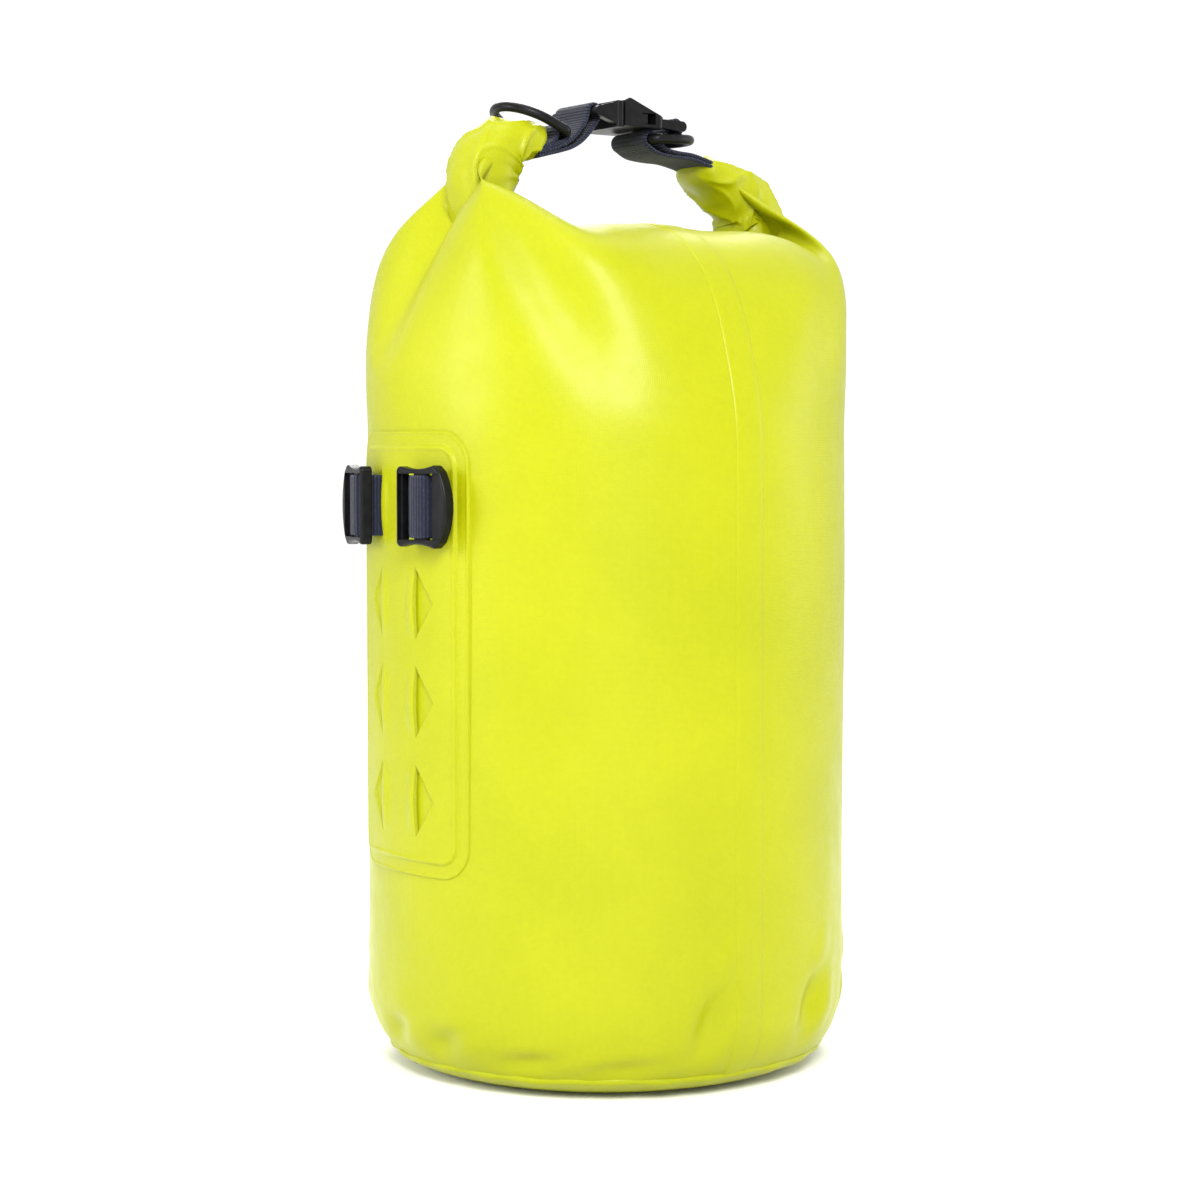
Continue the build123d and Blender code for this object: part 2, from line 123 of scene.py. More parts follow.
def fabric_material(name, light, dark, weave_pitch=0.9 * MM):
    """Coated fabric: a fine plain weave under a satin film, with slight cloudiness and creases."""
    material, nodes, links, shader = new_material(name)
    uv = node(nodes, "ShaderNodeUVMap", uv_map="metres").outputs[0]
    place = nodes.new("ShaderNodeTexCoord").outputs["Object"]
    clouds = node(nodes, "ShaderNodeTexNoise", Scale=14.0, Detail=4.0, Roughness=0.55)
    links.new(place, clouds.inputs["Vector"])
    speckle = node(nodes, "ShaderNodeTexNoise", Scale=420.0, Detail=3.0)
    links.new(place, speckle.inputs["Vector"])
    broad = math_node(nodes, links, "MULTIPLY", clouds.outputs[0], 0.75)
    small = math_node(nodes, links, "MULTIPLY", speckle.outputs[0], 0.25)
    tone = math_node(nodes, links, "ADD", broad, small)
    links.new(ramp(nodes, links, tone, [(0.30, dark), (0.68, light)]), shader.inputs["Base Color"])
    threads = []
    for direction in ("X", "Y"):
        wave = node(nodes, "ShaderNodeTexWave", bands_direction=direction, Scale=0.314 / weave_pitch)
        wave.inputs["Distortion"].default_value = 0.6
        wave.inputs["Detail Scale"].default_value = 0.4
        links.new(uv, wave.inputs["Vector"])
        threads.append(wave.outputs["Fac"])
    weave = math_node(nodes, links, "MULTIPLY", *threads)
    creases = node(nodes, "ShaderNodeTexNoise", Scale=95.0, Detail=5.0, Roughness=0.6)
    links.new(place, creases.inputs["Vector"])
    normal = bump(nodes, links, creases.outputs[0], 0.9 * MM, 0.35)
    normal = bump(nodes, links, weave, 0.10 * MM, 0.40, normal)
    links.new(normal, shader.inputs["Normal"])
    rough = ramp(nodes, links, creases.outputs[0], [(0.3, grey(0.35)), (0.7, grey(0.47))])
    links.new(rough, shader.inputs["Roughness"])
    shader.inputs["Specular IOR Level"].default_value = 0.17
    shader.inputs["Coat Weight"].default_value = 0.05
    shader.inputs["Coat Roughness"].default_value = 0.20
    shader.inputs["Subsurface Weight"].default_value = 0.08
    shader.inputs["Subsurface Radius"].default_value = (0.004, 0.004, 0.001)
    return material


def webbing_material(name, rib_pitch=1.3 * MM):
    """Navy webbing: ribs across its width, bumped and with painted shade in the grooves between them and
    painted light on their crests, a fine weave along them and slightly paler, fuzzier edges.
    """
    material, nodes, links, shader = new_material(name)
    uv = node(nodes, "ShaderNodeUVMap", uv_map="metres").outputs[0]
    split = nodes.new("ShaderNodeSeparateXYZ")
    links.new(uv, split.inputs[0])
    rib = node(nodes, "ShaderNodeTexWave", bands_direction="X", Scale=0.314 / rib_pitch, Distortion=0.3)
    links.new(uv, rib.inputs["Vector"])
    fine = node(nodes, "ShaderNodeTexWave", bands_direction="Y", Scale=0.314 / (0.5 * MM), Distortion=1.2)
    links.new(uv, fine.inputs["Vector"])
    fuzz = node(nodes, "ShaderNodeTexNoise", Scale=900.0, Detail=4.0)
    links.new(nodes.new("ShaderNodeTexCoord").outputs["Object"], fuzz.inputs["Vector"])
    across = math_node(nodes, links, "ABSOLUTE", split.outputs[1])
    at_edge = math_node(nodes, links, "GREATER_THAN", across, 11.3 * MM)
    edge = math_node(nodes, links, "MULTIPLY", at_edge, 0.25)
    # painted shade and light: the rib wave that makes the bump also darkens the colour in the grooves and
    # lightens it on the crests; the paler edges and the fuzz are the webbing's own tone
    rib_shade_and_edge = math_node(nodes, links, "ADD", rib.outputs["Fac"], edge)
    tone = math_node(nodes, links, "MULTIPLY", rib_shade_and_edge, fuzz.outputs[0])
    stops = [
        (0.05, (0.002, 0.003, 0.008, 1)), (0.5, (0.010, 0.013, 0.032, 1)), (0.85, (0.036, 0.044, 0.078, 1)),
    ]
    links.new(ramp(nodes, links, tone, stops), shader.inputs["Base Color"])
    threads = math_node(nodes, links, "MULTIPLY", fine.outputs["Fac"], 0.35)
    height = math_node(nodes, links, "ADD", rib.outputs["Fac"], threads)
    normal = bump(nodes, links, height, 0.28 * MM, 0.9)
    links.new(bump(nodes, links, fuzz.outputs[0], 0.1 * MM, 0.6, normal), shader.inputs["Normal"])
    shader.inputs["Roughness"].default_value = 0.82
    shader.inputs["Specular IOR Level"].default_value = 0.25
    shader.inputs["Sheen Weight"].default_value = 0.10
    shader.inputs["Sheen Roughness"].default_value = 0.4
    return material


def plastic_material(name):
    """Black moulded acetal: slightly grained, satin, with scuffed high spots."""
    material, nodes, links, shader = new_material(name)
    place = nodes.new("ShaderNodeTexCoord").outputs["Object"]
    grain = node(nodes, "ShaderNodeTexNoise", Scale=1500.0, Detail=3.0)
    links.new(place, grain.inputs["Vector"])
    scuffs = node(nodes, "ShaderNodeTexNoise", Scale=160.0, Detail=6.0, Roughness=0.7)
    links.new(place, scuffs.inputs["Vector"])
    stops = [(0.35, (0.0025, 0.0025, 0.0028, 1)), (0.75, (0.007, 0.007, 0.008, 1))]
    links.new(ramp(nodes, links, scuffs.outputs[0], stops), shader.inputs["Base Color"])
    rough = ramp(nodes, links, scuffs.outputs[0], [(0.3, grey(0.30)), (0.75, grey(0.46))])
    links.new(rough, shader.inputs["Roughness"])
    links.new(bump(nodes, links, grain.outputs[0], 0.05 * MM, 0.35), shader.inputs["Normal"])
    shader.inputs["Specular IOR Level"].default_value = 0.13
    return material


LIME = fabric_material("coated_fabric", (0.312, 0.328, 0.0008, 1), (0.266, 0.288, 0.0005, 1))
WEBBING = webbing_material("navy_webbing")
PLASTIC = plastic_material("black_acetal")


# ---------------------------------------------------------------- mesh helpers
def smoothstep(x, low, high):
    t = np.clip((x - low) / (high - low), 0, 1)
    return t * t * (3 - 2 * t)


def mesh_object(name, points, faces, uv, material):
    """An object from points, faces and one uv pair a point, in metres of fabric."""
    mesh = bpy.data.meshes.new(name)
    mesh.from_pydata([tuple(p) for p in points], [], faces)
    layer = mesh.uv_layers.new(name="metres")
    index = np.zeros(len(mesh.loops), np.int32)
    mesh.loops.foreach_get("vertex_index", index)
    layer.data.foreach_set("uv", np.asarray(uv, np.float32)[index].ravel())
    mesh.polygons.foreach_set("use_smooth", [True] * len(mesh.polygons))
    mesh.materials.append(material)
    made = bpy.data.objects.new(name, mesh)
    scene.collection.objects.link(made)
    return made


def face_outwards(piece):
    """Turns a closed piece's faces outwards."""
    model = bmesh.new()
    model.from_mesh(piece.data)
    if model.calc_volume(signed=True) < 0:
        piece.data.flip_normals()
    model.free()
    return piece


def grid_faces(rows, columns, wrap=False, keep=None):
    faces = []
    for i in range(rows - 1):
        for j in range(columns if wrap else columns - 1):
            if keep is not None and not keep[i, j]:
                continue
            k = (j + 1) % columns
            faces.append((i * columns + j, i * columns + k, (i + 1) * columns + k, (i + 1) * columns + j))
    return faces


def catmull_rom(values, factor, wrap=False):
    """Rows of values with factor - 1 smooth ones between each two."""
    v = np.asarray(values, float)
    if wrap:
        padded = np.concatenate([v[-1:], v, v[:2]])
        spans = len(v)
    else:
        padded = np.concatenate([2 * v[:1] - v[1:2], v, 2 * v[-1:] - v[-2:-1]])
        spans = len(v) - 1
    t = (np.arange(factor) / factor).reshape((1, factor) + (1,) * (v.ndim - 1))
    a, b, c, d = (padded[i : i + spans][:, None] for i in range(4))
    made = 0.5 * (2 * b + (c - a) * t + (2 * a - 5 * b + 4 * c - d) * t**2 + (3 * b - a - 3 * c + d) * t**3)
    made = made.reshape((spans * factor,) + v.shape[1:])
    return made if wrap else np.concatenate([made, v[-1:]])


def normals_of(points, wrap=False):
    """Outward normals of a grid whose columns go round +X from -Y and whose rows go up."""
    across = np.gradient(points, axis=1)
    if wrap:
        across = (np.roll(points, -1, 1) - np.roll(points, 1, 1)) / 2
    up = np.gradient(points, axis=0)
    n = np.cross(across, up)
    return n / np.maximum(np.linalg.norm(n, axis=2, keepdims=True), 1e-12)


# ---------------------------------------------------------------- the rolled closure's line
RADIUS = 0.100
HALF_FLAT = math.pi * RADIUS / 2
SHIFT = 3 * MM
MOUTH_Z = 338 * MM
UNGATHERED = 50 * MM
# each half of the closure's outer edge, from its middle to its tip:
# x from the middle and z above the mouth, in mm
LEFT_LINE = [(0, 0), (50, 0), (63, 3), (72, 13), (75, 28), (71, 41), (60, 50), (47, 51), (36, 47)]
RIGHT_LINE = [(0, -1), (52, -2), (67, -1), (79, 7), (82, 20), (72, 32), (56, 38.5), (39, 41.5)]


def closure_line(w, bend=1.0):
    """x, z and direction of the closure at flat distances w from its middle, its ends gathered and bent."""
    made = np.zeros((len(w), 3))
    for side, line in ((-1, LEFT_LINE), (1, RIGHT_LINE)):
        points = catmull_rom(np.array(line, float) * MM, 40)
        steps = np.diff(points, axis=0)
        angle = np.unwrap(np.arctan2(steps[:, 1], steps[:, 0])) * bend
        lengths = np.linalg.norm(steps, axis=1)
        along = np.concatenate([[0], np.cumsum(lengths)])
        x = np.concatenate([[0], np.cumsum(lengths * np.cos(angle))])
        z = np.concatenate([[0], np.cumsum(lengths * np.sin(angle))])
        mine = (np.sign(w) == side) | ((w == 0) & (side == 1))
        gather = (along[-1] - UNGATHERED) / (HALF_FLAT - UNGATHERED)
        here = np.abs(w[mine])
        here = np.where(here < UNGATHERED, here, UNGATHERED + (here - UNGATHERED) * gather)
        made[mine, 0] = side * np.interp(here, along, x)
        made[mine, 1] = np.interp(here, along, z)
        made[mine, 2] = np.interp(here, (along[1:] + along[:-1]) / 2, angle)
    return made


# ---------------------------------------------------------------- the bag's skin
SIM_FROM = 0.205
SIM_LENGTH, LEFT_LENGTH, RIGHT_LENGTH = 0.226, 0.210, 0.203
COLUMNS, ROWS = 160, 56


def simulate_top():
    """The upper body: a straight tube whose mouth is flattened and bent into the closure under pressure."""
    turn = np.linspace(0, 2 * math.pi, COLUMNS, endpoint=False)
    signed = (turn + math.pi) % (2 * math.pi) - math.pi
    is_back = np.abs(signed) > math.pi / 2
    w = np.where(is_back, np.sign(signed) * (math.pi - np.abs(signed)), signed) * RADIUS
    tube = np.zeros((ROWS, COLUMNS, 3))
    tube[:, :, 0] = RADIUS * np.sin(turn)
    tube[:, :, 1] = -RADIUS * np.cos(turn)
    side_length = np.where(w < 0, LEFT_LENGTH, RIGHT_LENGTH)
    length = SIM_LENGTH + (side_length - SIM_LENGTH) * smoothstep(np.abs(w), 0.07, HALF_FLAT)
    tube[:, :, 2] = SIM_FROM + np.linspace(0, 1, ROWS)[:, None] * length[None, :]
    gap = np.where(is_back, 1.2, -1.2) * MM * np.clip((HALF_FLAT - np.abs(w)) / (4 * MM), 0, 1)
    mesh = bpy.data.meshes.new("closing")
    mesh.from_pydata(tube.reshape(-1, 3).tolist(), [], grid_faces(ROWS, COLUMNS, wrap=True))
    cloth = bpy.data.objects.new("closing", mesh)
    scene.collection.objects.link(cloth)
    cloth.shape_key_add(name="Basis")
    stages = [(0.0, SIM_FROM + RIGHT_LENGTH - 0.03), (0.3, 0.375), (0.65, 0.352), (1.0, MOUTH_Z)]
    times = np.linspace(1, 38, len(stages) + 1)
    for i, (bend, z) in enumerate(stages):
        line = closure_line(w, bend)
        shaped = tube.copy()
        shaped[-1] = np.stack([line[:, 0] + SHIFT * bend, gap, line[:, 1] + z], 1)
        key = cloth.shape_key_add(name=f"stage_{i}")
        key.data.foreach_set("co", shaped.astype(np.float32).ravel())
        for value, moment in ((0, i), (1, i + 1), (0, i + 2)):
            if moment < len(times):
                key.value = value
                key.keyframe_insert("value", frame=times[moment])
    for curve in mesh.shape_keys.animation_data.action.fcurves:
        for point in curve.keyframe_points:
            point.interpolation = "LINEAR"
    pins = cloth.vertex_groups.new(name="pins")
    pins.add(list(range(COLUMNS)) + list(range((ROWS - 1) * COLUMNS, ROWS * COLUMNS)), 1, "REPLACE")
    modifier = cloth.modifiers.new("cloth", "CLOTH")
    settings = modifier.settings
    settings.vertex_group_mass = "pins"
    settings.quality = 6
    settings.mass = 0.15
    settings.tension_stiffness = settings.compression_stiffness = 60
    settings.shear_stiffness = 15
    settings.bending_stiffness = 1.0
    settings.tension_damping = settings.compression_damping = 10
    settings.shear_damping = 8
    settings.bending_damping = 1
    settings.air_damping = 2
    settings.use_pressure = True
    settings.uniform_pressure_force = 30
    settings.effector_weights.gravity = 0
    modifier.collision_settings.use_collision = False
    modifier.point_cache.frame_start = 1
    modifier.point_cache.frame_end = 60
    for moment in range(1, 61):
        scene.frame_set(moment)
    shown = cloth.evaluated_get(bpy.context.evaluated_depsgraph_get())
    settled = shown.to_mesh()
    got = np.zeros(len(settled.vertices) * 3, np.float32)
    settled.vertices.foreach_get("co", got)
    shown.to_mesh_clear()
    bpy.data.objects.remove(cloth)
    scene.frame_set(1)
    return tube, got.reshape(ROWS, COLUMNS, 3).astype(float)


def eased(top, amount):
    """Each point moved by some amount towards the middle of its four neighbours."""
    around = (np.roll(top, 1, 1) + np.roll(top, -1, 1)) / 2
    above = top.copy()
    above[1:-1] = (top[2:] + top[:-2]) / 2
    return top * (1 - amount) + (around + above) / 2 * amount


def relax(top):
    """The settled fabric with its crumples eased beside the rolled ends and on the full front and back."""
    up = np.linspace(0, 1, ROWS)[:, None]
    out = np.abs(np.sin(np.linspace(0, 2 * math.pi, COLUMNS, endpoint=False)))[None, :]
    beside = smoothstep(up, 0.45, 0.75) * smoothstep(out, 0.55, 0.95)
    full = smoothstep(up, 0.15, 0.35) * (1 - smoothstep(up, 0.72, 0.92))
    ease = np.maximum(0.12 + 0.88 * beside, full)[:, :, None] * 0.5
    for _ in range(7):
        top = eased(top, ease)
    for _ in range(18):
        top = eased(top, 0.5 * full[:, :, None] * np.ones((1, COLUMNS, 1)))
    spread = np.hypot(top[:, :, 0], top[:, :, 1])
    hold = 1 - smoothstep(top[:, :, 2], 0.325, 0.345)
    too_far = np.maximum(spread / (RADIUS + 0.5 * MM), 1) - 1
    top[:, :, :2] /= (1 + too_far * hold)[:, :, None]
    return top


SEAM_RADIUS, SEAM_Z = 90.0 * MM, 7.5 * MM


def body_grid():
    """The body panel from the base weld to the closure: rows of points, their angles and fabric lengths."""
    tube, top = simulate_top()
    settle = smoothstep(tube[:, :, 2], 0.262, 0.300)[:, :, None]
    top = relax(tube * (1 - settle) + top * settle)
    top = catmull_rom(top, 3)
    lengths = np.linspace(SIM_FROM, SIM_FROM + SIM_LENGTH, len(top))
    top = catmull_rom(top.transpose(1, 0, 2), 3, wrap=True).transpose(1, 0, 2)
    turn = np.linspace(0, 2 * math.pi, top.shape[1], endpoint=False)
    corner = 32 * MM
    foot = math.acos((SEAM_RADIUS - RADIUS + corner) / corner)
    arc = np.linspace(-foot, 0, 14)
    radius = np.concatenate([RADIUS - corner + corner * np.cos(arc), np.full(60, RADIUS)])
    height = np.concatenate([corner + corner * np.sin(arc), np.linspace(corner, SIM_FROM, 62)[1:-1]])
    height += (SEAM_Z - height[0]) * smoothstep(-height, -corner, -height[0])
    low = np.stack(
        [
            radius[:, None] * np.sin(turn),
            -radius[:, None] * np.cos(turn),
            np.repeat(height[:, None], len(turn), 1),
        ],
        2,
    )
    points = np.concatenate([low, top])
    along = np.concatenate([height, lengths])
    return dent_base(points, turn), turn, along


LEAN = 2.2


def dent_base(points, turn):
    """Slack fabric near the base weld: shallow dents with a raised edge, and a slight unevenness all over."""
    z = points[:, :, 2]
    push = np.zeros(z.shape)
    # angle round from -Y towards +X in degrees, height, half width in degrees, half height and depth, in mm
    dents = [
        (-10, 32, 3.5, 13, 4.6), (23, 33, 4, 12, 4.8), (-95, 21, 5, 7, 3.0), (-76, 20, 4.5, 6, 2.8),
        (-53, 16, 7, 4, 2.4), (-30, 14, 8, 4, 1.8), (50, 30, 4, 10, 3.2), (86, 22, 7, 7, 1.6),
        (120, 30, 4, 11, 3.2), (150, 20, 7, 5, 2.2), (-130, 28, 4.5, 10, 3.0), (-160, 19, 7, 5, 2.2),
        (178, 28, 4, 9, 2.6),
    ]
    for angle, height, wide, tall, depth in dents:
        away = ((np.degrees(turn) - angle + 180) % 360 - 180)[None, :]
        b = (z - height * MM) / (tall * MM)
        a = (away - LEAN * b) / wide
        hollow = np.exp(-(a**2) - b**2)
        brim = (np.exp(-(a**2) - (b - 1.5) ** 2) + np.exp(-((a - 1.6) ** 2) - b**2)) * 0.35
        push += (brim - hollow) * depth * MM
    push += 0.35 * MM * np.sin(5 * turn + 1)[None, :] * np.sin(z * 21) * smoothstep(z, 0.02, 0.09)
    push *= smoothstep(z, SEAM_Z, SEAM_Z + 5 * MM) * (1 - smoothstep(z, 0.20, 0.25))
    return points + normals_of(points, wrap=True) * push[:, :, None]


skin, skin_turn, skin_along = body_grid()
skin_normals = normals_of(skin, wrap=True)


def half_skin(name, first):
    """Half of the body panel, from the front centre round to the back centre."""
    count = skin.shape[1] // 2 + 1
    columns = (first + np.arange(count)) % skin.shape[1]
    points = skin[:, columns]
    u = (first + np.arange(count)) / skin.shape[1] * 2 * math.pi * RADIUS
    uv = np.stack(np.broadcast_arrays(u[None, :], skin_along[:, None]), 2)
    piece = mesh_object(name, points.reshape(-1, 3), grid_faces(len(points), count), uv.reshape(-1, 2), LIME)
    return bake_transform(piece)


right_skin = half_skin("body_panel_right", 0)
left_skin = half_skin("body_panel_left", skin.shape[1] // 2)
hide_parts("body_panel")


def skin_at(turn, row):
    """A point and normal of the skin at an angle from -Y towards +X and a row, both arrays of one shape."""
    column = (turn / (2 * math.pi) * skin.shape[1]) % skin.shape[1]
    c0, r0 = np.floor(column).astype(int), np.clip(np.floor(row).astype(int), 0, len(skin) - 2)
    fc, fr = (column - c0)[..., None], (row - r0)[..., None]
    c1 = (c0 + 1) % skin.shape[1]

    def mix(grid):
        low = grid[r0, c0] * (1 - fc) + grid[r0, c1] * fc
        high = grid[r0 + 1, c0] * (1 - fc) + grid[r0 + 1, c1] * fc
        return low * (1 - fr) + high * fr

    normal = mix(skin_normals)
    return mix(skin), normal / np.linalg.norm(normal, axis=-1, keepdims=True)


# ---------------------------------------------------------------- lengthways weld
def weld_strip():
    """The lapped weld up the front: a flat strip with soft edges, from the base weld to the closure."""
    offsets = np.array([-6.9, -6.4, -5.8, -3.2, 0, 3.2, 5.8, 6.4, 6.9]) * MM
    heights = np.array([-0.25, 0.15, 0.36, 0.33, 0.32, 0.33, 0.36, 0.15, -0.25]) * MM
    rows = np.arange(1.0, len(skin) - 3)
    turn, row = np.meshgrid(offsets / RADIUS, rows)
    points, normal = skin_at(turn, row)
    points = points + normal * heights[None, :, None]
    uv = np.stack([turn * RADIUS, np.interp(row, np.arange(len(skin)), skin_along)], 2)
    faces = grid_faces(len(rows), len(offsets))
    strip = mesh_object("weld_strip", points.reshape(-1, 3), faces, uv.reshape(-1, 2), LIME)
    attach(strip, "bag")
    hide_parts("body_weld")


weld_strip()


# ---------------------------------------------------------------- base
def base_piece():
    """The base panel, from the middle of its flat foot out to the welded lip, proud of the body."""
    profile = [
        (0, 0.0), (25, 0.0), (50, 0.0), (68, 0.05), (75, 0.7), (81, 2.2), (86.5, 4.3), (89.6, 6.0),
        (91.2, 7.2), (91.8, 8.4), (91.5, 9.5), (90.3, 9.8), (88.6, 8.2),
    ]
    curve = catmull_rom(np.array(profile, float) * MM, 4)
    turn = np.linspace(0, 2 * math.pi, 240, endpoint=False)
    ripple = 0.25 * MM * np.sin(9 * turn + 0.7) + 0.2 * MM * np.sin(23 * turn)
    lip = smoothstep(curve[:, 0], 0.082, 0.090)
    radius = curve[:, 0][:, None] + 0.3 * MM * lip[:, None] * np.sin(31 * turn)[None, :]
    height = curve[:, 1][:, None] + lip[:, None] * ripple[None, :]
    points = np.stack([radius * np.sin(turn), -radius * np.cos(turn), height], 2)
    uv = np.stack([points[:, :, 0], points[:, :, 1]], 2)
    faces = grid_faces(len(curve) - 1, len(turn), wrap=True)
    middle = (len(curve) - 1) * len(turn)
    faces += [(middle, (j + 1) % len(turn), j) for j in range(len(turn))]
    points, uv = (np.concatenate([grid[1:].reshape(middle, -1), grid[0, :1]]) for grid in (points, uv))
    base = mesh_object("base_panel_visual", points, faces, uv, LIME)
    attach(base, "bag")
    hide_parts("base_panel")


base_piece()


# ---------------------------------------------------------------- lash patch
PATCH_Z, PATCH_TALL, PATCH_WIDE, PATCH_CORNER = 175 * MM, 89 * MM, 41.5 * MM, 14 * MM
SLOT_ROWS = (235 * MM, 195.5 * MM, 156 * MM, 116.5 * MM)
SLOT_NEAR, SLOT_FAR, SLOT_TALL = 12.7 * MM, 23.4 * MM, 14.5 * MM
SLOT_BOW, SLOT_WALL = 1.3 * MM, 0.06 * MM


def rounded_distance(a, b, wide, tall, corner):
    """Distance outside a rounded rectangle, below zero inside it."""
    x, y = np.abs(a) - wide + corner, np.abs(b) - tall + corner
    outside = np.hypot(np.maximum(x, 0), np.maximum(y, 0))
    return outside + np.minimum(np.maximum(x, y), 0) - corner


def patch_height(a, z):
    """How far the patch stands off the body at arc length a from its middle and height z."""
    edge = rounded_distance(a, z - PATCH_Z, PATCH_WIDE, PATCH_TALL, PATCH_CORNER)
    height = -0.5 * MM + 1.35 * MM * smoothstep(-edge, 0, 0.5 * MM)
    height += 0.25 * MM * np.exp(-(((-edge - 0.9 * MM) / (0.5 * MM)) ** 2))
    height += 0.95 * MM * smoothstep(-edge, 5.6 * MM, 6.6 * MM)
    height += 0.30 * MM * np.exp(-(((-edge - 7.2 * MM) / (0.8 * MM)) ** 2))
    for middle in SLOT_ROWS:
        v = (z - middle) / SLOT_TALL
        room = np.clip(1 - v**2, 0, 1)
        far = SLOT_NEAR + (SLOT_FAR - SLOT_NEAR) * np.clip(1 - np.abs(v), 0, 1)
        inward = np.abs(a) - SLOT_NEAR + SLOT_BOW * room
        floor = 0.25 * MM + 0.75 * MM * np.clip(inward / (SLOT_FAR - SLOT_NEAR), 0, 1)
        cut = smoothstep(far - np.abs(a), 0.0, 0.4 * MM) * (inward > SLOT_WALL / 2) * (np.abs(v) < 1)
        lip = 1.1 * MM * np.exp(-(((inward + 1.4 * MM) / (2.6 * MM)) ** 2)) * room
        height = (height + lip) * (1 - cut) + floor * cut
    return height, edge


def slot_room(z):
    """1 at the middle of each slot's height, falling to 0 at its ends and between slots."""
    return sum(np.clip(1 - ((z - middle) / SLOT_TALL) ** 2, 0, 1) for middle in SLOT_ROWS)


def overhang(a, z):
    """How far each slot's bowed inner edge leans out over the slot."""
    room = slot_room(z)
    behind = SLOT_NEAR - SLOT_BOW * room - np.abs(a)
    lean = np.where(behind > -SLOT_WALL / 2, np.clip(1 - behind / (3 * MM), 0, 1), 0)
    return 1.0 * MM * np.sqrt(room) * lean * np.sign(a)


def patch_piece():
    edges = [SLOT_NEAR, SLOT_NEAR + SLOT_WALL]
    columns = np.linspace(-PATCH_WIDE - 0.8 * MM, PATCH_WIDE + 0.8 * MM, 256)
    columns = np.sort(np.concatenate([columns, edges, -np.array(edges)]))
    rows = np.linspace(PATCH_Z - PATCH_TALL - 0.8 * MM, PATCH_Z + PATCH_TALL + 0.8 * MM, 480)
    a, z = np.meshgrid(columns, rows)
    follow = np.exp(-(((np.abs(a) - SLOT_NEAR) / (4 * MM)) ** 2))
    a = a - np.sign(a) * SLOT_BOW * slot_room(z) * follow
    height, edge = patch_height(a, z)
    radius = RADIUS + height
    angle = (a + overhang(a, z)) / (RADIUS + 1.5 * MM)
    points = np.stack([-radius * np.cos(angle), -radius * np.sin(-angle), z], 2)
    keep = edge[:-1, :-1] < 0.8 * MM
    uv = np.stack([a, z], 2)
    faces = [tuple(reversed(f)) for f in grid_faces(len(rows), len(columns), keep=keep)]
    patch = mesh_object("lash_patch", points.reshape(-1, 3), faces, uv.reshape(-1, 2), LIME)
    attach(patch, "bag")
    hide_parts("patch_backing", "patch_face", "lash_strap")


patch_piece()


# ---------------------------------------------------------------- sweeps and ribbons
def lengths_along(line):
    """How far along a line of points each one is."""
    return np.concatenate([[0], np.cumsum(np.linalg.norm(np.diff(line, axis=0), axis=1))])


def sweep(name, centres, across, upward, sections, material):
    """A capped tube: at each centre, a section of (across, upward) offsets laid on those directions."""
    count = sections.shape[1]
    rings = (
        centres[:, None]
        + sections[:, :, 0, None] * across[:, None]
        + sections[:, :, 1, None] * upward[:, None]
    )
    points = rings.reshape(-1, 3)
    uv = np.stack(np.broadcast_arrays(lengths_along(rings[len(rings) // 2])[None, :],
                                      lengths_along(centres)[:, None]), 2).reshape(-1, 2)
    faces = grid_faces(len(rings), count, wrap=True)
    for ring, flip in ((0, True), (len(rings) - 1, False)):
        middle = len(points)
        points = np.concatenate([points, rings[ring].mean(0)[None]])
        uv = np.concatenate([uv, uv[ring * count][None]])
        for j in range(count):
            face = (ring * count + j, ring * count + (j + 1) % count, middle)
            faces.append(tuple(reversed(face)) if flip else face)
    return face_outwards(mesh_object(name, points, faces, uv, material))


def ribbon(name, line, width, thickness, place):
    """Webbing laid along a line of (x, z) points in mm, its width along Y, with rounded edges."""
    course = catmull_rom(np.array(line, float) * MM, 6)
    steps = np.gradient(course, axis=0)
    steps /= np.linalg.norm(steps, axis=1, keepdims=True)
    normal = np.stack([-steps[:, 1], steps[:, 0]], 1)
    half, thin = width / 2 * MM, thickness / 2 * MM
    spread = np.array([-1, -0.97, -0.90, -0.5, 0, 0.5, 0.90, 0.97, 1])
    lift = np.array([0, 0.8, 1, 1, 1, 1, 1, 0.8, 0])
    y = np.concatenate([spread, spread[-2:0:-1]]) * half
    h = np.concatenate([lift, -lift[-2:0:-1]]) * thin
    points = np.zeros((len(course), len(y), 3))
    points[:, :, 0] = course[:, 0][:, None] + normal[:, 0][:, None] * h[None, :]
    points[:, :, 1] = y[None, :]
    points[:, :, 2] = course[:, 1][:, None] + normal[:, 1][:, None] * h[None, :]
    uv = np.stack(np.broadcast_arrays(lengths_along(course)[:, None], y[None, :]), 2).reshape(-1, 2)
    faces = grid_faces(len(course), len(y), wrap=True)
    last = (len(course) - 1) * len(y)
    faces.append(tuple(range(len(y)))[::-1])
    faces.append(tuple(last + j for j in range(len(y))))
    turned, moved = place
    piece = mesh_object(name, points.reshape(-1, 3) @ turned + moved, faces, uv, WEBBING)
    return face_outwards(piece)


# ---------------------------------------------------------------- the roll and its two ends
def stadium(count, wide, thick):
    """A flattened round section, as (across, upward) offsets."""
    turn = np.linspace(0, 2 * math.pi, count, endpoint=False)
    c, s = np.cos(turn), np.sin(turn)
    squareness = 2 / 2.6
    x = np.sign(c) * np.abs(c) ** squareness * wide
    y = np.sign(s) * np.abs(s) ** squareness * thick
    return np.stack([x, y], 1)


